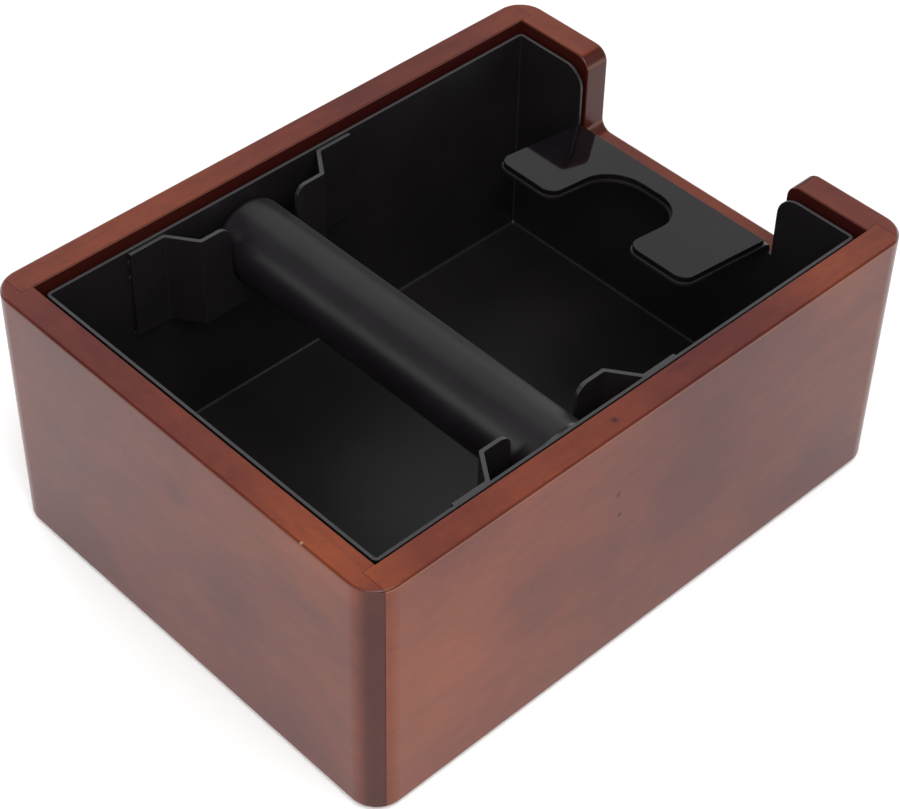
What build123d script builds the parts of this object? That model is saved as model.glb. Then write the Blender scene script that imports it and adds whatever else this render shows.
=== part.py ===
from build123d import *
import math
import os

os.makedirs("parts", exist_ok=True)

# Espresso knock box, in millimetres. +Z is up, X runs along the knock bar and Y along the box.
# The handle notch is in the wall at +Y. The origin is on the table, under the middle of the box.

# Wooden case
case_width = 180.0
case_length = 236.0
case_height = 99.0
board = 10.4
corner_radius = 10.3
rim_round = 1.1
inner_rim_round = 0.5
rabbet_reach = 4.6

# Handle notch in the rear end board
notch_width = 92.2
notch_depth = 34.2
notch_shoulder_radius = 5.5
notch_floor_radius = 4.6

# Base panel, held in grooves in the four boards
panel_thickness = 5.0
panel_lift = 3.8
groove_depth = 4.0
panel_play = 0.2

# Rubber feet, stuck under the panel
foot_stand = 1.5
foot_diameter = 16.0
foot_inset = 16.0
foot_edge_round = 0.8

# Lift-out tray of coated sheet metal
sheet = 1.2
tray_play = 2.4
tray_drop = 3.1
tray_corner_bend = 1.9
tray_floor_bend = 2.4

# Notch in the tray's rear wall, a little narrower than the board's at each side
tray_notch_step = 0.4
tray_notch_radius = 8.0
relief_width = 1.5
relief_depth = 4.0

# Rest tongue, bent inwards at the foot of the tray's notch and sloping up towards the bar
tongue_drop = 25.9
tongue_slope = 7.6
tongue_bend = 3.0
tongue_margin = 0.5

# Rest mat on the tongue, measured along the slope from the wall's outer face
mat_thickness = 2.0
mat_start = 3.2
mat_end = 44.3
mat_corner_radius = 5.0
spout_width = 35.2
spout_end = 12.7
spout_radius = 14.0

# Knock bar
bar_diameter = 27.8
bar_end_play = 1.0
bar_end_round = 3.0
bar_setback = 26.3
bar_drop = 20.4
core_diameter = 16.0
core_play = 0.05
plug_thickness = 6.0
plug_recess = 0.6

# Saddles, strips folded like a hat, with a slot for the bar between two horns
saddle_sheet = 1.5
saddle_foot = 14.0
saddle_slant = 7.2
saddle_horn = 11.8
saddle_web = 4.4
saddle_stand_off = 11.7
saddle_bend = 1.2
saddle_drop = 0.7
slot_play = 0.3
slot_lead_radius = 4.5

# Reach of a cutting shape past the faces that it cuts
overrun = 5.0

# How close to a named place an edge or corner lies to be picked out there
snap = 0.1

# Levels, from the table up
case_bottom = foot_stand
rim = case_bottom + case_height
notch_floor = rim - notch_depth
panel_bottom = case_bottom + panel_lift
panel_top = panel_bottom + panel_thickness
tray_bottom = panel_top
tray_top = rim - tray_drop
bar_level = rim - bar_drop
slot_radius = bar_diameter / 2 + slot_play
saddle_top = tray_top - saddle_drop
saddle_bottom = bar_level - slot_radius - saddle_web

# Places across and along the box
case_x = case_width / 2
case_y = case_length / 2
inner_x = case_x - board
inner_y = case_y - board
side_board_end = inner_y + rabbet_reach
tray_x = inner_x - tray_play
tray_y = inner_y - tray_play
notch_half = notch_width / 2
tray_notch_half = notch_half - tray_notch_step
tongue_half = tray_notch_half - relief_width
bar_length = 2 * (tray_x - sheet - bar_end_play)


def block(x0, x1, y0, y1, z0, z1):
    """A plain block between two corners."""
    centre = Pos((x0 + x1) / 2, (y0 + y1) / 2, (z0 + z1) / 2)
    return centre * Box(x1 - x0, y1 - y0, z1 - z0)


def edges_at(shape, axis, **places):
    """The straight edges of a shape along an axis whose middle lies at the given places."""
    found = shape.edges().filter_by(axis)
    for name, place in places.items():
        found = [e for e in found if abs(getattr(e.center(), name) - place) < snap]
    return ShapeList(found)


def panel_block(play):
    """The base panel, or with some play the groove that holds it."""
    reach_x = inner_x + groove_depth - panel_play + play
    reach_y = inner_y + groove_depth - panel_play + play
    return block(-reach_x, reach_x, -reach_y, reach_y, panel_bottom, panel_top + play)


def case_shell():
    """The glued case in one piece, with its notch and its groove, and every rim eased."""
    shell = block(-case_x, case_x, -case_y, case_y, case_bottom, rim)
    shell = fillet(shell.edges().filter_by(Axis.Z), corner_radius)
    shell -= block(-inner_x, inner_x, -inner_y, inner_y, case_bottom - overrun, rim + overrun)
    reach = (inner_y - overrun, case_y + overrun)
    shell -= block(-notch_half, notch_half, *reach, notch_floor, rim + overrun)
    for level, radius in ((rim, notch_shoulder_radius), (notch_floor, notch_floor_radius)):
        for x in (-notch_half, notch_half):
            shell = fillet(edges_at(shell, Axis.Y, X=x, Z=level), radius)
    # Each rounding runs on along the edges that its first edge flows into, the notch among them.
    outer = edges_at(shell, Axis.X, Y=-case_y)
    shell = fillet(outer, rim_round)
    inner = edges_at(shell, Axis.X, Y=-inner_y, Z=rim) + edges_at(shell, Axis.X, Y=inner_y, Z=notch_floor)
    for side in (-1, 1):
        inner += edges_at(shell, Axis.Y, X=side * inner_x, Z=rim)
    shell = fillet(inner, inner_rim_round)
    return shell - panel_block(panel_play)


def side_zone(side):
    """The room of one long side board, with its two ends in the rabbets."""
    reach = sorted((side * inner_x, side * (case_x + overrun)))
    return block(*reach, -side_board_end, side_board_end, case_bottom - overrun, rim + overrun)


def side_wall(case, side):
    """A long side board."""
    return case & side_zone(side)


def end_wall(case, end):
    """A short end board, rabbeted at both ends over the side boards."""
    reach = sorted((0, end * (case_y + overrun)))
    half = case_x + overrun
    zone = block(-half, half, *reach, case_bottom - overrun, rim + overrun)
    return (case & zone) - side_zone(-1) - side_zone(1)


def base_panel():
    """The panel that the tray stands on."""
    return panel_block(0)


def foot(side, end):
    """One round foot, under a corner of the panel."""
    stand = Cylinder(foot_diameter / 2, panel_bottom, align=(Align.CENTER, Align.CENTER, Align.MIN))
    stand = fillet(stand.edges().group_by(Axis.Z)[0], foot_edge_round)
    return Pos(side * (inner_x - foot_inset), end * (inner_y - foot_inset), 0) * stand


def tray_shell():
    """The open tray: its outside less its inside, with bends along the corners and the floor."""
    outside = block(-tray_x, tray_x, -tray_y, tray_y, tray_bottom, tray_top)
    outside = fillet(outside.edges().filter_by(Axis.Z), tray_corner_bend)
    outside = fillet(outside.faces().sort_by(Axis.Z)[0].edges(), tray_floor_bend)
    x = tray_x - sheet
    y = tray_y - sheet
    inside = block(-x, x, -y, y, tray_bottom + sheet, tray_top + overrun)
    inside = fillet(inside.edges().filter_by(Axis.Z), tray_corner_bend - sheet)
    inside = fillet(inside.faces().sort_by(Axis.Z)[0].edges(), tray_floor_bend - sheet)
    return outside - inside


# The slope's own plane: its origin is where the tongue's top meets the tray wall's outer face.
slope = math.radians(tongue_slope)
tongue_root = rim - tongue_drop
tongue_plane = Plane(
    origin=(0, tray_y, tongue_root),
    x_dir=(-1, 0, 0),
    z_dir=(0, math.sin(slope), math.cos(slope)),
)


def rest_outline(start, margin):
    """The rest's outline in the slope's plane, with its U-shaped cut-out, grown by a margin."""
    half = tongue_half - tongue_margin + margin
    spout = spout_width / 2 - margin
    front = mat_end + margin
    apex = spout_end + margin
    points = [
        (-half, start), (-half, front), (-spout, front), (-spout, apex),
        (spout, apex), (spout, front), (half, front), (half, start),
    ]
    outline = make_face(Polyline(*points, close=True))
    tips = [v for v in outline.vertices() if abs(v.Y - front) < snap]
    outline = fillet(tips, mat_corner_radius + margin)
    bottom = [v for v in outline.vertices() if abs(v.Y - apex) < snap]
    return fillet(bottom, spout_radius - margin)


def tongue():
    """The bent tongue: the wall's strip below the notch, its bend, and the sloping plate."""
    front = mat_end + tongue_margin
    top_front = tongue_plane.from_local_coords((0, front, 0))
    low_front = tongue_plane.from_local_coords((0, front, -sheet))
    wall_inner = tray_y - sheet
    under = tongue_root + sheet * (math.tan(slope) - 1 / math.cos(slope))
    strip_foot = tongue_root - relief_depth - overrun
    profile = Plane.YZ * make_face(Polyline(
        (tray_y, tongue_root), (top_front.Y, top_front.Z), (low_front.Y, low_front.Z),
        (wall_inner, under), (wall_inner, strip_foot), (tray_y, strip_foot), close=True,
    ))
    plate = extrude(profile, tongue_half, both=True)
    plate = fillet(edges_at(plate, Axis.X, Y=tray_y, Z=tongue_root), tongue_bend)
    plate = fillet(edges_at(plate, Axis.X, Y=wall_inner, Z=under), tongue_bend - sheet)
    outline = tongue_plane * rest_outline(-overrun, tongue_margin)
    return plate & extrude(outline, relief_depth + 2 * overrun, both=True)


def liner_tray():
    """The whole tray: shell, notch and tongue."""
    tray = tray_shell()
    half = tray_notch_half
    low = tongue_root - relief_depth
    tray -= block(-half, half, tray_y - sheet - overrun, tray_y + overrun, low, tray_top + overrun)
    for x in (-half, half):
        tray = fillet(edges_at(tray, Axis.Y, X=x, Z=tray_top), tray_notch_radius)
    return tray + tongue()


def rest_mat():
    """The smooth mat that lies on the tongue."""
    return tongue_plane * extrude(rest_outline(mat_start, 0), mat_thickness)


def strip_points(side_offset):
    """A saddle's folded line seen from above, moved off its middle by an offset."""
    wall_face = tray_x - sheet - saddle_sheet / 2
    face = wall_face - saddle_stand_off + saddle_sheet
    corner = slot_radius + saddle_horn
    knee = corner + saddle_slant
    end = knee + saddle_foot
    lean = math.atan2(wall_face - face, saddle_slant)
    slip = side_offset * math.tan(lean / 2)
    return [
        (wall_face - side_offset, -end), (wall_face - side_offset, -knee - slip),
        (face - side_offset, -corner - slip), (face - side_offset, corner + slip),
        (wall_face - side_offset, knee + slip), (wall_face - side_offset, end),
    ]


def saddle(side):
    """A folded strip on the tray's long wall, with an open slot for the bar."""
    half = saddle_sheet / 2
    inner = strip_points(half)
    outer = strip_points(-half)
    outline = make_face(Polyline(*inner, *reversed(outer), close=True))
    end = inner[-1][1]
    bends = [v for v in outline.vertices() if abs(abs(v.Y) - end) > snap]
    strip = extrude(fillet(bends, saddle_bend), saddle_top - saddle_bottom)
    strip = Pos(0, -bar_setback, saddle_bottom) * strip
    near = tray_x - sheet - saddle_stand_off - overrun
    far = tray_x + overrun
    slot = Rot(0, 90, 0) * Cylinder(slot_radius, far - near)
    slot = Pos((near + far) / 2, -bar_setback, bar_level) * slot
    front = -bar_setback - slot_radius
    back = -bar_setback + slot_radius
    strip -= slot + block(near, far, front, back, bar_level, saddle_top + overrun)
    for y in (front, back):
        strip = fillet(edges_at(strip, Axis.X, Y=y, Z=saddle_top), slot_lead_radius)
    return strip if side > 0 else mirror(strip, about=Plane.YZ)


def along_bar(shape):
    """Lays a shape that stands along Z at the origin on the bar's axis."""
    return Pos(0, -bar_setback, bar_level) * Rot(0, 90, 0) * shape


def bar_core():
    """The steel rod inside the sleeve."""
    return along_bar(Cylinder(core_diameter / 2, bar_length - 2 * plug_thickness))


def bar_sleeve():
    """The thick rubber sleeve, rounded at its ends."""
    sleeve = Cylinder(bar_diameter / 2, bar_length)
    sleeve = fillet(sleeve.edges().filter_by(GeomType.CIRCLE), bar_end_round)
    return along_bar(sleeve - Cylinder(core_diameter / 2 + core_play, bar_length + overrun))


def bar_plug(side):
    """A plug that closes one end of the sleeve."""
    thickness = plug_thickness - plug_recess
    middle = side * (bar_length / 2 - plug_recess - thickness / 2)
    return along_bar(Pos(0, 0, middle) * Cylinder(core_diameter / 2, thickness))


case = case_shell()
nodes = {
    "front_wall": end_wall(case, -1),
    "notch_wall": end_wall(case, 1),
    "left_wall": side_wall(case, -1),
    "right_wall": side_wall(case, 1),
    "base_panel": base_panel(),
    "liner_tray": liner_tray(),
    "left_saddle": saddle(-1),
    "right_saddle": saddle(1),
    "rest_mat": rest_mat(),
    "bar_core": bar_core(),
    "bar_sleeve": bar_sleeve(),
    "bar_plug_left": bar_plug(-1),
    "bar_plug_right": bar_plug(1),
}
for end_name, end in (("front", -1), ("rear", 1)):
    for side_name, side in (("left", -1), ("right", 1)):
        nodes[f"foot_{end_name}_{side_name}"] = foot(side, end)

for name, shape in nodes.items():
    shape.label = name
    export_step(shape, f"parts/{name}.step")
    box = shape.bounding_box()
    size = [round(v, 1) for v in (box.size.X, box.size.Y, box.size.Z)]
    print(name, "volume", round(shape.volume), "size", size)
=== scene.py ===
# %% [markdown]
# A knock box is the caddy where spent coffee is knocked out of a filter holder. This one is a
# wooden case with a black coated steel tray inside, a rubber covered bar across the tray and a
# mat on which a filter holder can rest. The construction comes in as a fixed frame, so this
# lesson is about finishes, fine edges and light, and nothing that was built is moved.

import math

import bpy
from mathutils import Color, Matrix, Vector


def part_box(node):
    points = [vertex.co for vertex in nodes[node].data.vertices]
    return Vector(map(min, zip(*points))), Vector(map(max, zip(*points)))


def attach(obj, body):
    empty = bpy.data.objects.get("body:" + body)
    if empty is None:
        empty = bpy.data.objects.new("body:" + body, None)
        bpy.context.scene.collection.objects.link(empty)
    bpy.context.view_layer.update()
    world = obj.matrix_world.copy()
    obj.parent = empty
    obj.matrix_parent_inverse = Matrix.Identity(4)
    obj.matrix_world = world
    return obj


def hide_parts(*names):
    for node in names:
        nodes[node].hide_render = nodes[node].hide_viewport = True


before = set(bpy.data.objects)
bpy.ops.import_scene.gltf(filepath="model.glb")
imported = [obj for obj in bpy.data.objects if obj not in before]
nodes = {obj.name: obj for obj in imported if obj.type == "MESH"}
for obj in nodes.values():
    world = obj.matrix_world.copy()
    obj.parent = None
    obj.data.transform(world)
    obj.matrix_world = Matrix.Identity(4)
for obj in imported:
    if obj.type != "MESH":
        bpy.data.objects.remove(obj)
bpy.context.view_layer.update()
MM = 0.001

# %% [markdown]
# The photographer stood above the near corner and used a fairly long lens, so the long edges
# stay almost parallel. A camera can be aimed with a constraint or turned by hand. Here its
# place, heading, tilt and the slight roll of the picture are plain values, because they were
# measured and a constraint would hide them.

# %% Camera
EYE = Vector((409.67, -402.91, 589.01)) * MM
HEADING = math.radians(45.61)
TILT_DOWN = math.radians(43.93)
ROLL = math.radians(1.28)
LENS = 94.54
SENSOR = 36
NEAREST = 0.01

camera_data = bpy.data.cameras.new("studio_camera")
camera_data.lens = LENS
camera_data.sensor_width = SENSOR
camera_data.clip_start = NEAREST
camera = bpy.data.objects.new("studio_camera", camera_data)
bpy.context.scene.collection.objects.link(camera)
turn = Matrix.Rotation(HEADING, 4, "Z") @ Matrix.Rotation(math.pi / 2 - TILT_DOWN, 4, "X")
camera.matrix_world = Matrix.Translation(EYE) @ turn @ Matrix.Rotation(ROLL, 4, "Z")
bpy.context.scene.camera = camera
print("camera:", LENS, "mm lens at", [round(edge, 3) for edge in EYE])

# %% [markdown]
# Node trees are easier to read when each node is made, filled in and joined on one line. These
# helpers do that. An input that is given another node's output is linked, and any other value is
# typed into the socket.

# %% Helpers for node trees
def fill(node, inputs):
    """Links or types each value into the named or numbered input of a node."""
    for key, value in inputs.items():
        if isinstance(value, bpy.types.NodeSocket):
            node.id_data.links.new(value, node.inputs[key])
        else:
            node.inputs[key].default_value = value


def add(tree, kind, inputs=None, **settings):
    """A new node of that kind, with its settings and its inputs filled in."""
    node = tree.nodes.new("ShaderNode" + kind)
    for key, value in settings.items():
        setattr(node, key, value)
    fill(node, inputs or {})
    return node


def new_finish(name):
    """A new material: itself, its tree, its main shader and the object's own coordinates."""
    material = bpy.data.materials.new(name)
    material.use_nodes = True
    tree = material.node_tree
    return material, tree, tree.nodes["Principled BSDF"], add(tree, "TexCoord").outputs["Object"]


# %% [markdown]
# A finish is a chain of small sums: read a place, draw noise there, choose a stretch of it and
# mix two colours by that share. Each link of the chain gets a short name here, so that the
# finishes below read like recipes. A ready texture set would hide these steps.

# %% Sums, colours and directions
MIX_SHARE, MIX_FIRST, MIX_SECOND, MIX_COLOUR = 0, 6, 7, 2
SCREEN_WHITE = 255


def number(tree, operation, first, second=0.0):
    """One sum in the tree: the operation on two numbers or outputs."""
    return add(tree, "Math", {0: first, 1: second}, operation=operation).outputs[0]


def mix(tree, share, first, second):
    """Two colours mixed by a share from 0 to 1."""
    inputs = {MIX_SHARE: share, MIX_FIRST: first, MIX_SECOND: second}
    return add(tree, "Mix", inputs, data_type="RGBA").outputs[MIX_COLOUR]


def ramp(tree, value, low, high, start=0.0, end=1.0):
    """The value, read between low and high, as a smooth step from start to end."""
    inputs = {"Value": value, "From Min": low, "From Max": high, "To Min": start, "To Max": end}
    return add(tree, "MapRange", inputs, interpolation_type="SMOOTHSTEP").outputs[0]


def axis(tree, vector, letter):
    """One axis, X, Y or Z, of a place or a direction."""
    return add(tree, "SeparateXYZ", {0: vector}).outputs[letter]


def facing(tree):
    """The direction in which the surface faces, seen from the object itself."""
    return add(tree, "TexCoord").outputs["Normal"]


def paint(red, green, blue):
    """A colour as it looks on a screen, 0 to 255, turned into the light that it reflects."""
    seen = Color([channel / SCREEN_WHITE for channel in (red, green, blue)])
    return (*seen.from_srgb_to_scene_linear(), 1.0)


# %% [markdown]
# Noise is the raw stuff of every natural surface. It can be stretched to draw wood or steel, read
# as a colour, or read as a height that bends the light. It lies between 0 and 1 but seldom comes
# near its ends, so most finishes read only its middle stretch. Below, a noise is written as its
# scale, its detail and at times its roughness, and a bump as its depth and its strength.

# %% Noise and bumps
NOISE_MIDDLE = (0.3, 0.7)
NOISE_MEAN = 0.5


def cloud(tree, place, scale, detail=2.0, roughness=0.5):
    """Soft noise with so many features to the metre."""
    inputs = {"Vector": place, "Scale": scale, "Detail": detail, "Roughness": roughness}
    return add(tree, "TexNoise", inputs).outputs["Fac"]


def mapped(tree, place, **changes):
    """The place after a Mapping node with these changes, such as a Scale or a Rotation."""
    return add(tree, "Mapping", {"Vector": place, **changes}).outputs[0]


def bump(tree, height, distance, strength, under=None):
    """Turns a height into a bent normal, on top of another one if there is one."""
    node = add(tree, "Bump", {"Height": height, "Distance": distance, "Strength": strength})
    if under is not None:
        fill(node, {"Normal": under})
    return node.outputs[0]


# %% [markdown]
# The boards are a pale, close grained wood under a red-brown stain and a clear varnish. Stain
# takes unevenly, so the colour drifts between a brown and a deep red. A texture painted by hand
# would show that too, but it would need unwrapping. Here the finish is read in space, so each
# board keeps its own figure round every edge, as solid wood does. First comes a curve of tones
# along the grain: 0 is the deep red, 1 is the full brown.

# %% Tones of the stain
STAIN_BROWN = (0.192, 0.040, 0.013, 1)
STAIN_RED = (0.076, 0.012, 0.010, 1)
STAIN_DARK = (0.022, 0.003, 0.003, 1)
# Bare wood shows in chips; it also colours the pale edge line, which is partly a painted highlight.
BARE_WOOD_AND_HIGHLIGHT = (0.30, 0.17, 0.11, 1)
CURVE_LENGTH = 240
CURVE_MIDDLE = 0.5


def tone_along(tree, along, browns):
    """How brown the stain is along the grain, from places in millimetres and their tones."""
    half = CURVE_LENGTH / 2 * MM
    share = add(tree, "MapRange", {"Value": along, "From Min": -half, "From Max": half}).outputs[0]
    curve = add(tree, "ValToRGB", {0: share})
    curve.color_ramp.interpolation = "B_SPLINE"
    stops = curve.color_ramp.elements
    while len(stops) < len(browns):
        stops.new(CURVE_MIDDLE)
    for stop, (where, brown) in zip(stops, browns.items()):
        stop.position = where / CURVE_LENGTH + CURVE_MIDDLE
        stop.color = (brown, brown, brown, 1)
    return curve.outputs[0]


# %% [markdown]
# The cloth that carries the stain leaves broad patches, some browner and some redder. Each one
# here is a place in millimetres with its radius and its amount, and it fades out softly. A mask
# painted on the board would do as well, but a place and a radius are easier to move.

# %% Patches in the stain
BROWN_PATCHES = {
    (90, -92, 45): (50, 0.18),
    (90, 25, 12): (38, 0.2),
    (62, -113, 108): (34, 0.55),
    (30, -118, 90): (30, 0.12),
    (10, 113, 82): (50, 0.25),
    (84, 84, 112): (34, 0.45),
    (84, 30, 112): (34, 0.12),
}
RED_PATCHES = {
    (84, -85, 108): (34, 0.35),
    (90, -50, 52): (24, 0.35),
    (90, -24, 48): (18, 0.2),
    (90, 92, 10): (34, 0.3),
    (90, 18, 52): (32, 0.24),
    (-60, -118, 12): (30, 0.2),
    (84, 30, 106): (40, 0.25),
    (2, -118, 77): (9, 0.25),
    (26, -118, 48): (26, 0.2),
    (50, -118, 12): (30, 0.15),
}
PATCH_CORE = 0.2


def falloff(tree, place, centre, radius, core, amount):
    """The amount round a centre in millimetres. It fades out beyond the core, a share of the radius."""
    ends = {0: place, 1: Vector(centre) * MM}
    away = add(tree, "VectorMath", ends, operation="DISTANCE").outputs["Value"]
    return ramp(tree, away, core * radius * MM, radius * MM, amount, 0.0)


def patched(tree, place, brown):
    """The tone with the browner patches added and the redder ones taken off."""
    for operation, patches in (("ADD", BROWN_PATCHES), ("SUBTRACT", RED_PATCHES)):
        for centre, (radius, amount) in patches.items():
            patch = falloff(tree, place, centre, radius, PATCH_CORE, amount)
            brown = number(tree, operation, brown, patch)
    return brown


# %% [markdown]
# Inside the patches the stain still drifts, in clouds drawn out along the grain. Three sizes of
# noise are added up, because one size alone looks like a pattern. Fine streaks and pores then
# darken the wood a little, which is the figure that shows from close by.

# %% Drift and figure
DRIFTS = ((22, 3, 0.5), (90, 4, 0.55), (260, 3, 0.42))
DRIFT_ROUGHNESS = 0.6
DRIFT_LENGTHWAYS = (0.5, 1, 1)
STREAKS = (260, 4, 0.65)
STREAKS_LENGTHWAYS = (0.12, 1, 1)
MOTTLE = (900, 3, 0.6)
FIGURE_SHOWS = (0.45, 0.8)
FIGURE_STRENGTH = 0.22


def drifting(tree, drawn, brown):
    """The tone with three sizes of soft clouds in it: their scale, detail and amount."""
    for scale, detail, amount in DRIFTS:
        wave = number(tree, "SUBTRACT", cloud(tree, drawn, scale, detail, DRIFT_ROUGHNESS), NOISE_MEAN)
        brown = number(tree, "ADD", brown, number(tree, "MULTIPLY", wave, amount))
    return brown


def figured(tree, colour, *patterns):
    """The colour darkened where each fine pattern is high."""
    for pattern in patterns:
        share = ramp(tree, pattern, *FIGURE_SHOWS, 0.0, FIGURE_STRENGTH)
        colour = mix(tree, share, colour, STAIN_DARK)
    return colour


# %% [markdown]
# Where a corner is rounded the cut crosses the fibres, and end grain drinks more stain: that is
# the dark band down each corner, which stops dead at the joint because the next board shows its
# side grain. Along the rounded rim and foot a narrow pale line lies next to a dark one. The pale
# line is partly sanding wear and partly a painted highlight, and the dark line is painted shade
# on the round. All of these follow the direction in which a face looks, so they are read from
# its normal and need no mask. The inner faces of the boards are painted darker, as painted shade
# inside the box.

# %% End grain, edges and insides
# End grain's own tone, which also colours the dark edge line of painted shade.
END_GRAIN_AND_SHADE_TONE = (0.034, 0.003, 0.001, 1)
END_GRAIN_DARKENING = 0.8
# Where the pale edge line comes in and goes out: partly sanding wear, partly a painted highlight.
RUBBED_HIGHLIGHT_STARTS = (0.1, 0.22)
RUBBED_HIGHLIGHT_ENDS = (0.36, 0.46)
# Where the dark edge line of painted shade comes in and goes out, and how dark it is.
SHADE_LINE_STARTS = (0.42, 0.6)
SHADE_LINE_ENDS = (0.86, 0.98)
EDGE_PAINTED_SHADE = 0.55
# How much darker the inner faces are painted, as shade inside the box, and how far out that reaches.
INSIDE_PAINTED_SHADE = 0.9
INSIDE_SHADE_BEYOND = 2.45 * MM
tray_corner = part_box("liner_tray")[1]


def turned_to(tree, letter):
    """How far a face is turned towards an axis, either way along it, from 0 to 1."""
    return number(tree, "ABSOLUTE", axis(tree, facing(tree), letter))


def edge_line(tree, starts, ends, amount):
    """A line on the rounded edges that comes in and goes out as the face turns to look up or down."""
    upward = turned_to(tree, "Z")
    return number(tree, "MULTIPLY", ramp(tree, upward, *starts), ramp(tree, upward, *ends, amount, 0.0))


# Painted shade: marks the inner faces, which are darkened as shade inside the box.
def inside_shade_mask(tree, place):
    """1 on the boards' inner faces and 0 on all that lies further out."""
    inside = 1.0
    for letter, half in (("X", tray_corner.x), ("Y", tray_corner.y)):
        away = number(tree, "ABSOLUTE", axis(tree, place, letter))
        inside = number(tree, "MULTIPLY", number(tree, "LESS_THAN", away, half + INSIDE_SHADE_BEYOND), inside)
    return inside


def worked(tree, place, colour, kind):
    """End grain, painted inner shade and two edge lines: wear with painted highlight, and painted shade."""
    ends = ramp(tree, turned_to(tree, kind["grain"]), *kind["end_grain"], 0.0, END_GRAIN_DARKENING)
    colour = mix(tree, ends, colour, END_GRAIN_AND_SHADE_TONE)
    # Painted shade: the inner faces of the boards are darkened as shade inside the box.
    colour = mix(tree, number(tree, "MULTIPLY", inside_shade_mask(tree, place), INSIDE_PAINTED_SHADE), colour, STAIN_DARK)
    # The pale line on the rounded edges: partly sanding wear, partly a painted highlight.
    colour = mix(tree, edge_line(tree, RUBBED_HIGHLIGHT_STARTS, RUBBED_HIGHLIGHT_ENDS, kind["rubbed_highlight"]), colour, BARE_WOOD_AND_HIGHLIGHT)
    # The dark line on the rounded edges is painted shade.
    return mix(tree, edge_line(tree, SHADE_LINE_STARTS, SHADE_LINE_ENDS, EDGE_PAINTED_SHADE), colour, END_GRAIN_AND_SHADE_TONE)


# %% [markdown]
# Pin knots and a chipped edge are small marks, each at its own place. A knot doesn't take the
# varnish well, so it is dull as well as dark. A chip shows the bare wood. They use the same soft
# spot as the patches, only much smaller.

# %% Knots, chips and varnish
PIN_KNOTS = {
    (90.0, -17.6, 72.9): (2.2, 0.6),
    (90.0, -16.3, 63.2): (1.9, 0.66),
    (85.1, -16.8, 100.5): (1.8, 0.8),
}
KNOT_CORE = 0.1
KNOT_DULLNESS = 0.85
CHIPS = {(59.6, -117.3, 100.3): 0.8}
CHIP_CORE = 0.3
CHIP_STRENGTH = 0.85
VARNISH_IOR = 1.36
VARNISH_ROUGHNESS = 0.28
PORE_BUMP = (0.03 * MM, 0.3)
VARNISH_WAVES = (500, 1)
VARNISH_BUMP = (0.03 * MM, 0.25)


def marked(tree, place, colour):
    """The colour with the knots and chips in it, and how dull the varnish is."""
    dull = VARNISH_ROUGHNESS
    for centre, (radius, depth) in PIN_KNOTS.items():
        pit = falloff(tree, place, centre, radius, KNOT_CORE, depth)
        colour = mix(tree, pit, colour, STAIN_DARK)
        dull = number(tree, "MAXIMUM", dull, number(tree, "MULTIPLY", pit, KNOT_DULLNESS))
    for centre, radius in CHIPS.items():
        chip = falloff(tree, place, centre, radius, CHIP_CORE, CHIP_STRENGTH)
        colour = mix(tree, chip, colour, BARE_WOOD_AND_HIGHLIGHT)
    return colour, dull


# %% [markdown]
# One recipe now makes the finish of all four boards. The short boards run across the box and the
# long ones along it, so the grain turns with them. Each board was cut from another place in the
# plank, so the noise is shifted for each, and each has its own curve of tones.

# %% Stained wood
# The last value of a kind is the strength of the pale edge line, partly wear and partly a painted highlight.
SHORT = {"grain": "X", "heading": 0.0, "end_grain": (0.2, 0.62), "rubbed_highlight": 0.2}
LONG = {"grain": "Y", "heading": -math.pi / 2, "end_grain": (0.1, 1.2), "rubbed_highlight": 0.5}
BOARDS = {
    "front_wall": {
        "kind": SHORT,
        "shift": (0.0, 0.0, 0.0),
        "browns": {-88: 0.38, -62: 0.0, -20: 0.3, 20: 0.26, 60: 0.32, 85: 0.26},
    },
    "notch_wall": {
        "kind": SHORT,
        "shift": (0.7, 0.3, 0.1),
        "browns": {-80: 0.65, -40: 0.45, 70: 0.17},
    },
    "left_wall": {
        "kind": LONG,
        "shift": (0.2, 0.9, 0.4),
        "browns": {-108: 0.34, -60: 0.74, 0: 0.34, 50: 0.08, 100: 0.42},
    },
    "right_wall": {
        "kind": LONG,
        "shift": (0.5, 0.1, 0.8),
        "browns": {-90: 0.7, -45: 0.62, 0: 0.27, 30: 0.12, 70: 0.24, 110: 0.38},
    },
}


def stained_wood(name, kind, shift, browns):
    """A board's finish, with the grain turned to run along the board."""
    material, tree, shader, place = new_finish(name)
    board = mapped(tree, place, Rotation=(0, 0, kind["heading"]))
    moved = mapped(tree, board, Location=shift)
    drawn = mapped(tree, moved, Scale=DRIFT_LENGTHWAYS)
    streaks = cloud(tree, mapped(tree, moved, Scale=STREAKS_LENGTHWAYS), *STREAKS)
    mottle = cloud(tree, drawn, *MOTTLE)

    brown = patched(tree, place, tone_along(tree, axis(tree, board, "X"), browns))
    colour = mix(tree, drifting(tree, drawn, brown), STAIN_RED, STAIN_BROWN)
    colour = worked(tree, place, figured(tree, colour, streaks, mottle), kind)
    colour, dull = marked(tree, place, colour)
    fill(shader, {"Base Color": colour, "Roughness": dull, "IOR": VARNISH_IOR})

    pores = bump(tree, mottle, *PORE_BUMP)
    fill(shader, {"Normal": bump(tree, cloud(tree, moved, *VARNISH_WAVES), *VARNISH_BUMP, pores)})
    return material


stains = {name: stained_wood("stain_" + name, **facts) for name, facts in BOARDS.items()}
print("stained wood for", ", ".join(stains))

# %% [markdown]
# The tray, with the tongue that carries the mat, and its two saddles are sheet steel with a black
# powder coat. Such a coat flows into a skin with very fine waves, so its shine is soft and
# slightly broken. The top edges are painted greyer, a painted highlight where they face the light
# from above. That paler grey is found from two facts: a face is high up and it looks upwards.

# %% Powder coat
COAT_DEEP = (0.0056, 0.0045, 0.0052, 1)
COAT_PALE = (0.0080, 0.0065, 0.0076, 1)
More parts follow.
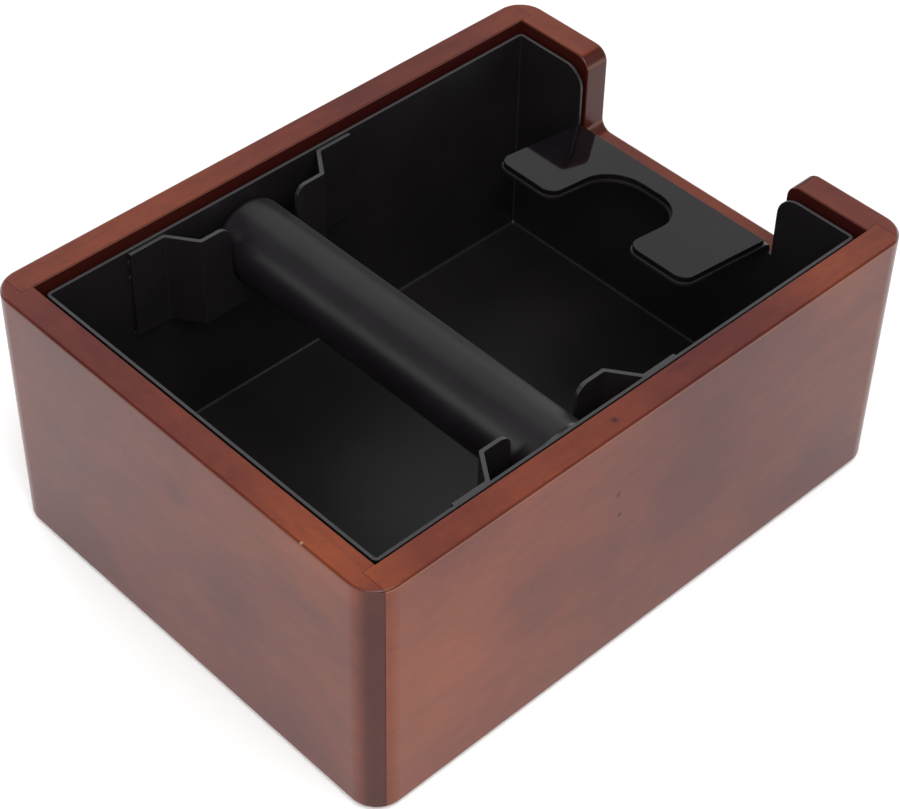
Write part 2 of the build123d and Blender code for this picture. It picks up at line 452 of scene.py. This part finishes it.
# The paler grey of the painted highlight on the top edges.
COAT_TOP_HIGHLIGHT = (0.030, 0.029, 0.031, 1)
COAT_DRIFT = (35, 3)
COAT_WAVES = (2200, 2)
COAT_ROUGHNESS = (0.36, 0.44)
COAT_IOR = 1.46
COAT_BUMP = (0.03 * MM, 0.35)
# Height and facing at which the painted highlight on the top edges shows.
HIGHLIGHT_ABOVE = (78 * MM, 84 * MM)
HIGHLIGHT_FACING = (0.7, 0.95)


def powder_coat():
    """Satin black coating with the fine waves of baked powder and a painted highlight on top edges."""
    material, tree, shader, place = new_finish("powder_coat")
    speck = cloud(tree, place, *COAT_WAVES)
    drift = ramp(tree, cloud(tree, place, *COAT_DRIFT), *NOISE_MIDDLE)
    # Painted highlight: faces high up that look upwards are painted paler grey.
    high = ramp(tree, axis(tree, place, "Z"), *HIGHLIGHT_ABOVE)
    top_highlight = number(tree, "MULTIPLY", high, ramp(tree, axis(tree, facing(tree), "Z"), *HIGHLIGHT_FACING))
    fill(shader, {"Base Color": mix(tree, top_highlight, mix(tree, drift, COAT_DEEP, COAT_PALE), COAT_TOP_HIGHLIGHT)})
    fill(shader, {"Roughness": ramp(tree, speck, *NOISE_MIDDLE, *COAT_ROUGHNESS), "IOR": COAT_IOR})
    fill(shader, {"Normal": bump(tree, speck, *COAT_BUMP)})
    return material


coating = powder_coat()
print(coating.name, "has", len(coating.node_tree.nodes), "nodes")

# %% [markdown]
# Three black plastics sit side by side here: the bar's sleeve is a dull satin rubber, the feet
# are chalky, and the mat is polished like glass. Black is never quite neutral, and these have a
# faint violet cast and a paler bloom in soft clouds. The sleeve's side that faces the back is
# painted paler grey, most at one end, as a painted sheen. One recipe makes all three, because
# only the tone, the shine and the size of the surface grain tell them apart.

# %% Rubber and mat
VIOLET_CAST = (1.15, 0.9, 1.15)
BLOOM = (1.0, 1.5)
BLOOM_CLOUDS = (60, 4)
BLOOM_SHOWS = (0.35, 0.7)
# The grey of the painted sheen on the sleeve, on which side and along which stretch it shows.
SHEEN_GREY = (0.034, 0.033, 0.035, 1)
SHEEN_SIDE = (0.3, 0.8)
SHEEN_ALONG = (-70 * MM, 70 * MM)
SHEEN_LEAST = 0.45
GRAIN_DETAIL = 2
GRAIN_DULLER = 1.2
GRAIN_STRENGTH = 0.3


def painted_sheen(tree, place, colour):
    """The colour painted paler grey as a painted sheen on the bar's back-facing side, less towards +X."""
    side = ramp(tree, axis(tree, facing(tree), "Y"), *SHEEN_SIDE)
    along = ramp(tree, axis(tree, place, "X"), *SHEEN_ALONG, 1.0, SHEEN_LEAST)
    return mix(tree, number(tree, "MULTIPLY", side, along), colour, SHEEN_GREY)


def black_plastic(name, tone, shine, grain, depth, ior=1.45, with_painted_sheen=False):
    """Black rubber or plastic with a faint bloom, a fine grain and a roughness of at least its shine."""
    material, tree, shader, place = new_finish(name)
    bloom = ramp(tree, cloud(tree, place, *BLOOM_CLOUDS), *BLOOM_SHOWS)
    deep, pale = [tuple(tone * share * cast for cast in VIOLET_CAST) + (1,) for share in BLOOM]
    colour = mix(tree, bloom, deep, pale)
    # Painted sheen: the sleeve's back-facing side is painted paler grey.
    if with_painted_sheen:
        colour = painted_sheen(tree, place, colour)
    texture = cloud(tree, place, grain, GRAIN_DETAIL)
    dull = ramp(tree, texture, *NOISE_MIDDLE, shine, shine * GRAIN_DULLER)
    fill(shader, {"Base Color": colour, "Roughness": dull, "IOR": ior})
    fill(shader, {"Normal": bump(tree, texture, depth, GRAIN_STRENGTH)})
    return material


bar_rubber = black_plastic("bar_rubber", tone=0.004, shine=0.33, grain=3000, depth=0.02 * MM, with_painted_sheen=True)
foot_rubber = black_plastic("foot_rubber", tone=0.010, shine=0.6, grain=2500, depth=0.03 * MM)
mat_gloss = black_plastic("mat_gloss", tone=0.003, shine=0.05, grain=500, depth=0.002 * MM, ior=1.38)
print("black plastics:", bar_rubber.name, foot_rubber.name, mat_gloss.name)

# %% [markdown]
# Two finishes are mostly hidden: the ply panel under the tray and the steel rod in the bar. They
# show when the tray is lifted, so they are made as well. Both are noise drawn out into lines,
# long growth lines for the ply and the marks of the drawing die for the rod. Both keep their own
# forms from the construction, and so do the feet and the plugs, so only their finish is changed.

# %% Ply and bare steel
PLY_PALE = paint(196, 158, 112)
PLY_DARK = paint(158, 116, 76)
PLY_LENGTHWAYS = (1, 0.08, 1)
PLY_LINES = (220, 4, 0.6)
PLY_SHOWS = (0.3, 0.75)
PLY_ROUGHNESS = (0.55, 0.7)
PLY_BUMP = (0.05 * MM, 0.4)
STEEL_DARK = paint(150, 150, 152)
STEEL_PALE = paint(184, 184, 186)
STEEL_LENGTHWAYS = (0.02, 1, 1)
STEEL_LINES = (4000, 2)
STEEL_ROUGHNESS = (0.25, 0.4)
STEEL_BUMP = (0.01 * MM, 0.3)


def ply_face():
    """The base panel: pale ply with long, faint growth lines."""
    material, tree, shader, place = new_finish("ply_face")
    lines = cloud(tree, mapped(tree, place, Scale=PLY_LENGTHWAYS), *PLY_LINES)
    fill(shader, {"Base Color": mix(tree, ramp(tree, lines, *PLY_SHOWS), PLY_PALE, PLY_DARK)})
    fill(shader, {"Roughness": ramp(tree, lines, *NOISE_MIDDLE, *PLY_ROUGHNESS)})
    fill(shader, {"Normal": bump(tree, lines, *PLY_BUMP)})
    return material


def drawn_steel():
    """The rod in the bar: steel with fine lines along its length."""
    material, tree, shader, place = new_finish("drawn_steel")
    lines = cloud(tree, mapped(tree, place, Scale=STEEL_LENGTHWAYS), *STEEL_LINES)
    fill(shader, {"Base Color": mix(tree, lines, STEEL_DARK, STEEL_PALE), "Metallic": 1.0})
    fill(shader, {"Roughness": ramp(tree, lines, *NOISE_MIDDLE, *STEEL_ROUGHNESS)})
    fill(shader, {"Normal": bump(tree, lines, *STEEL_BUMP)})
    return material


def dress(finish, *names):
    """Puts one finish on the construction's own nodes."""
    for name in names:
        nodes[name].material_slots[0].material = finish
    print(finish.name, "on", ", ".join(names))


dress(ply_face(), "base_panel")
dress(drawn_steel(), "bar_core")
dress(foot_rubber, "foot_front_left", "foot_front_right", "foot_rear_left", "foot_rear_right")
dress(bar_rubber, "bar_plug_left", "bar_plug_right")

# %% [markdown]
# Nothing real has a perfectly sharp edge. A node's mesh is loose triangles, so a copy of it is
# joined into one skin and its flat faces are made whole again. That keeps the exact form, and
# then a small bevel can add the thin line of light which the eye expects on an edge. Modelling
# the tray again from a cube would only bring small errors with it.

# %% Whole copies
SAME_POINT = 0.002 * MM
FLAT = math.radians(0.5)
SHARP = math.radians(30)


def only(piece):
    """Makes the piece the one thing that operators act on."""
    bpy.ops.object.select_all(action="DESELECT")
    piece.select_set(True)
    bpy.context.view_layer.objects.active = piece


def whole_copy(node, name):
    """A copy of a node's mesh, joined into one skin with whole flat faces."""
    piece = bpy.data.objects.new(name, nodes[node].data.copy())
    bpy.context.scene.collection.objects.link(piece)
    only(piece)
    bpy.ops.mesh.customdata_custom_splitnormals_clear()
    bpy.ops.object.mode_set(mode="EDIT")
    bpy.ops.mesh.select_all(action="SELECT")
    bpy.ops.mesh.remove_doubles(threshold=SAME_POINT)
    bpy.ops.mesh.dissolve_limited(angle_limit=FLAT, delimit={"NORMAL"})
    bpy.ops.object.mode_set(mode="OBJECT")
    return piece


def even_shading(piece):
    """Smooth across rounds and sharp at corners, with the large flats kept flat."""
    bpy.ops.object.shade_smooth_by_angle(angle=SHARP)
    modifier = piece.modifiers.new("even_shading", "WEIGHTED_NORMAL")
    modifier.keep_sharp = True
    bpy.ops.object.modifier_apply(modifier=modifier.name)


# %% [markdown]
# By hand one would pick the edges to round with the mouse. Here they are found by what they are:
# a ridge stands out, and a fold, such as the tray's inner corner, goes in and stays sharp. Which
# of the two an edge is follows from the way its two faces turn about it.

# %% Edges that get a round
def select_edges(piece, edges):
    """Opens the piece for editing with just these edges selected."""
    mesh = piece.data
    bpy.context.tool_settings.mesh_select_mode = (False, True, False)
    for group in (mesh.vertices, mesh.edges, mesh.polygons):
        group.foreach_set("select", [False] * len(group))
    for edge in edges:
        edge.select = True
        for index in edge.vertices:
            mesh.vertices[index].select = True
    bpy.ops.object.mode_set(mode="EDIT")


def ridges(piece):
    """The sharp edges where two faces make a ridge and not a fold."""
    mesh = piece.data
    sides = {}
    for face in mesh.polygons:
        ring = list(face.vertices)
        for first, second in zip(ring, ring[1:] + ring[:1]):
            sides.setdefault((min(first, second), max(first, second)), []).append((face, first, second))
    found = []
    for edge in mesh.edges:
        (face, first, second), (other, _, _) = sides[edge.key]
        along = mesh.vertices[second].co - mesh.vertices[first].co
        turned = face.normal.cross(other.normal).dot(along)
        if turned > 0 and face.normal.angle(other.normal) > SHARP:
            found.append(edge)
    return found


def wanted_edges(piece, edges, wanted):
    """Those edges of which both ends are wanted."""
    points = piece.data.vertices
    return [edge for edge in edges if all(wanted(points[index].co) for index in edge.vertices)]


def ease(piece, width, steps, wanted):
    """A small round on the ridges of which both ends are wanted."""
    select_edges(piece, wanted_edges(piece, ridges(piece), wanted))
    bpy.ops.mesh.bevel(offset=width, segments=steps, affect="EDGES")
    bpy.ops.object.mode_set(mode="OBJECT")


# %% [markdown]
# Sheet steel is 1.2 mm thick here, and its coated edges are rounded by about a fifth of a
# millimetre. The mat is moulded, so its edges are softer still. Each eased copy takes the place
# of its node and rides on the tray, so it lifts out with it.

# %% Tray, saddles and mat
SHEET_EDGE = 0.2 * MM
MAT_EDGE = 0.35 * MM
EDGE_STEPS = 2
TRAY_PIECES = {
    "liner_tray": ("coated_tray", SHEET_EDGE, "coated_steel", coating),
    "left_saddle": ("coated_saddle_left", SHEET_EDGE, "coated_steel", coating),
    "right_saddle": ("coated_saddle_right", SHEET_EDGE, "coated_steel", coating),
    "rest_mat": ("moulded_mat", MAT_EDGE, "mat_plastic", mat_gloss),
}


def stand_in(piece, node, body, finish):
    """The piece rides on its body, stands for the node and takes its finish."""
    piece.data.materials.clear()
    piece.data.materials.append(finish)
    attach(piece, body)
    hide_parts(node)
    print(piece.name, "for", node + ":", len(piece.data.polygons), "faces")


for node, (name, edge, slot, finish) in TRAY_PIECES.items():
    piece = whole_copy(node, name)
    ease(piece, edge, EDGE_STEPS, lambda point: True)
    even_shading(piece)
    stand_in(piece, node, "tray", finish)

# %% [markdown]
# The boards meet at the corners in a rebate: each long board ends against a shoulder cut in the
# short one. The shoulder's edge is sanded lightly before the glue, so a hairline shows on the
# rim and down the rounded corner. Only the edges of the short boards that lie on such a joint
# are eased, picked by place, and the long boards keep the construction's own form.

# %% Boards
HAIRLINE = 0.14 * MM
HAIRLINE_STEPS = 1
NEAR = 0.05 * MM
long_low, long_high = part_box("right_wall")
joint_end = long_high.y
joint_side = long_low.x


def on_joint(point):
    """Whether a point lies on the planes where two boards meet."""
    beside = abs(abs(point.y) - joint_end) < NEAR and abs(point.x) > joint_side - NEAR
    inside = abs(abs(point.x) - joint_side) < NEAR and abs(point.y) < joint_end + NEAR
    return beside or inside


for node in ("front_wall", "notch_wall"):
    piece = whole_copy(node, node.replace("wall", "board"))
    ease(piece, HAIRLINE, HAIRLINE_STEPS, on_joint)
    even_shading(piece)
    stand_in(piece, node, "case", stains[node])
for node in ("left_wall", "right_wall"):
    dress(stains[node], node)

# %% [markdown]
# The sleeve is a thick rubber tube, pushed over the rod. A cylinder is the natural start, taken
# at the size and place of the node that it stands for. Its two ends are inset to the width of
# the bore and the inner discs are deleted, which leaves two open rims. Those are bridged through
# the middle to make the wall of the bore.

# %% Rubber tube
SLEEVE_SIDES = 96
BORE_GAP = 0.05 * MM
END_FACING = 0.9
sleeve_low, sleeve_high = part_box("bar_sleeve")
core_low, core_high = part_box("bar_core")
sleeve_radius = (sleeve_high.z - sleeve_low.z) / 2
bore_radius = (core_high.z - core_low.z) / 2 + BORE_GAP
middle = (sleeve_low + sleeve_high) / 2

bpy.ops.object.select_all(action="DESELECT")
bpy.ops.mesh.primitive_cylinder_add(
    vertices=SLEEVE_SIDES, radius=sleeve_radius, depth=sleeve_high.x - sleeve_low.x,
    location=middle, rotation=(0, math.pi / 2, 0))
sleeve = bpy.context.object
sleeve.name = "rubber_sleeve"
bpy.ops.object.transform_apply(location=True, rotation=True, scale=True)
bpy.context.tool_settings.mesh_select_mode = (False, False, True)
for face in sleeve.data.polygons:
    face.select = abs(face.normal.x) > END_FACING
bpy.ops.object.mode_set(mode="EDIT")
bpy.ops.mesh.inset(thickness=sleeve_radius - bore_radius)
bpy.ops.mesh.delete(type="ONLY_FACE")
bpy.ops.object.mode_set(mode="OBJECT")


def at_bore(point):
    """Whether a point lies on the bore."""
    return math.hypot(point.y - middle.y, point.z - middle.z) < bore_radius + NEAR


select_edges(sleeve, wanted_edges(sleeve, sleeve.data.edges, at_bore))
bpy.ops.mesh.bridge_edge_loops()
bpy.ops.object.mode_set(mode="OBJECT")
print("tube of", round(2 * sleeve_radius / MM, 1), "mm with a bore of", round(2 * bore_radius / MM, 1), "mm")

# %% [markdown]
# Moulded rubber has large soft rounds on its outer rims and small ones at the bore. Both are
# bevels, each on its own rims, and a bevel with many steps is as good as a turned profile here.
# A shape that was opened and bridged can have faces that point inwards, so the normals are
# worked out again at the end.

# %% Rounds of the sleeve
END_ROUND = 3.0 * MM
END_STEPS = 8
BORE_ROUND = 0.5 * MM
BORE_STEPS = 3

ease(sleeve, END_ROUND, END_STEPS, lambda point: not at_bore(point))
ease(sleeve, BORE_ROUND, BORE_STEPS, at_bore)
bpy.ops.object.mode_set(mode="EDIT")
bpy.ops.mesh.select_all(action="SELECT")
bpy.ops.mesh.normals_make_consistent(inside=False)
bpy.ops.object.mode_set(mode="OBJECT")
even_shading(sleeve)
stand_in(sleeve, "bar_sleeve", "sleeve", bar_rubber)

# %% [markdown]
# The saddles are tacked to the tray: three small beads of weld sit in the corner at each end of
# a saddle's flange, under the coating. One bead is half a ball, pressed flat and stretched along
# the joint. It is modelled once, at the centre, and copied in the next step. Displaced lumps
# would look much the same from here and would need many more faces.

# %% One weld bead
BEAD = 0.9 * MM
BEAD_SIDES = 12
BEAD_RINGS = 8
BEAD_PRESSED = (0.4, 1.0, 1.35)

bpy.ops.object.select_all(action="DESELECT")
bpy.ops.mesh.primitive_uv_sphere_add(segments=BEAD_SIDES, ring_count=BEAD_RINGS, radius=BEAD)
bead = bpy.context.object
bpy.ops.object.mode_set(mode="EDIT")
bpy.ops.mesh.select_all(action="SELECT")
bpy.ops.mesh.bisect(plane_co=(0, 0, 0), plane_no=(1, 0, 0), clear_inner=True, use_fill=True)
bpy.ops.mesh.select_all(action="SELECT")
bpy.ops.transform.resize(value=BEAD_PRESSED)
bpy.ops.object.mode_set(mode="OBJECT")
bpy.ops.object.shade_smooth_by_angle(angle=SHARP)
print("one bead has", len(bead.data.polygons), "faces")

# %% [markdown]
# Each saddle gets a row of beads at both ends of its flange, with the flat side of every bead
# against the tray's wall. The copies have their place in their own meshes, so the joined row
# stays at the origin like every other piece, and it rides on the tray.

# %% Weld beads
BEAD_HEIGHTS = (61.9, 86.2, 92.6)

for side, node in ((-1, "left_saddle"), (1, "right_saddle")):
    low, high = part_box(node)
    wall = low.x if side < 0 else high.x
    inwards = Matrix.Rotation(0 if side < 0 else math.pi, 4, "Z")
    beads = []
    for end in (low.y, high.y):
        for height in BEAD_HEIGHTS:
            copy = bpy.data.objects.new("bead", bead.data.copy())
            bpy.context.scene.collection.objects.link(copy)
            copy.data.transform(Matrix.Translation((wall, end, height * MM)) @ inwards)
            beads.append(copy)
    only(beads[0])
    for copy in beads:
        copy.select_set(True)
    bpy.ops.object.join()
    row = bpy.context.object
    row.name = "weld_beads_" + node.split("_")[0]
    row.data.materials.append(coating)
    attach(row, "tray")
    print(row.name, "has", len(beads), "beads")
bpy.data.objects.remove(bead)

# %% [markdown]
# The studio is as plain as it can be. The floor is a sheet of pale paper, so large that its edge
# is far out of the picture, with the faintest of clouds in its tone. A curved backdrop would do
# the same from the front, but a flat sheet can be seen from every side.

# %% Floor
FLOOR_SIZE = 12
PAPER_TONES = ((0.92, 0.92, 0.92, 1), (0.94, 0.94, 0.94, 1))
PAPER_CLOUDS = 3
PAPER_ROUGHNESS = 0.7

bpy.ops.object.select_all(action="DESELECT")
bpy.ops.mesh.primitive_plane_add(size=FLOOR_SIZE)
floor = bpy.context.object
floor.name = "studio_floor"
paper, tree, shader, place = new_finish("pale_paper")
fill(shader, {"Base Color": mix(tree, cloud(tree, place, PAPER_CLOUDS), *PAPER_TONES)})
fill(shader, {"Roughness": PAPER_ROUGHNESS})
floor.data.materials.append(paper)
print(floor.name, "is", FLOOR_SIZE, "m wide")

# %% [markdown]
# Soft boxes do two jobs. The ones beside the camera only light the colours, because their shine
# is thrown away from it. The low ones behind and to the side are what the varnish, the mat and
# the bar reflect, so their strength sets how grey the gloss looks. Each is set by where it
# stands: its angle round the box, its height angle, its size in metres and its power in watts.

# %% Soft boxes
BOX_DISTANCE = 1.2
AIM = Vector((0, 0, 50)) * MM
SOFT_BOXES = {
    "above": (0, 90, 1.6, 1.0),
    "overhead": (80, 62, 0.9, 9.4),
    "beside_camera": (45, 42, 0.9, 9.0),
    "front_high": (0, 42, 0.9, 2.9),
    "back_left": (232, 41, 1.2, 3.25),
    "back_low": (180, 12, 0.9, 8.8),
    "left_low": (270, 12, 0.9, 7.3),
    "front_left_low": (339, 17, 0.6, 2.1),
    "back_right": (135, 30, 0.9, 1.1),
    "right_back_low": (122, 4, 0.5, 1.2),
}


def square_lamp(name, size, power):
    """A square area lamp, which shines straight down until it is turned."""
    light = bpy.data.lights.new(name, "AREA")
    light.size = size
    light.energy = power
    lamp = bpy.data.objects.new(name, light)
    bpy.context.scene.collection.objects.link(lamp)
    return lamp


def soft_box(name, azimuth, elevation, size, power):
    """A square lamp aimed at the case. Azimuth 0 is in front of the short front board."""
    around, up = math.radians(azimuth), math.radians(elevation)
    away = Vector((math.sin(around) * math.cos(up), -math.cos(around) * math.cos(up), math.sin(up)))
    lamp = square_lamp(name, size, power)
    lamp.location = AIM + away * BOX_DISTANCE
    lamp.rotation_euler = away.to_track_quat("Z", "Y").to_euler()


for name, facts in SOFT_BOXES.items():
    soft_box(name, *facts)
print(len(SOFT_BOXES), "soft boxes")

# %% [markdown]
# One small lamp hangs low over the floor beside the far end of the short front board and shines
# straight down. It lightens the paper there. The varnish mirrors that patch, so the far end of
# the board looks a little paler, as it does when a white card lies next to it.

# %% Floor card
CARD_PLACE = Vector((-165, -165, 130)) * MM
CARD_SIZE = 0.1
CARD_POWER = 0.03

card = square_lamp("floor_card", CARD_SIZE, CARD_POWER)
card.location = CARD_PLACE
print(card.name, "lights the paper from", round(CARD_PLACE.z / MM), "mm")

# %% [markdown]
# The room round the studio is almost dark, so that the soft boxes alone shape the gloss, and a
# trace of white light keeps the deepest corners from going empty. The Standard view shows each
# colour as it is lit. A filmic view would grey the white floor.

# %% Room
ROOM_LIGHT = 0.02

room = bpy.data.worlds.new("room")
room.use_nodes = True
fill(room.node_tree.nodes["Background"], {"Color": (1, 1, 1, 1), "Strength": ROOM_LIGHT})
bpy.context.scene.world = room
bpy.context.scene.view_settings.view_transform = "Standard"
print("room light", ROOM_LIGHT)
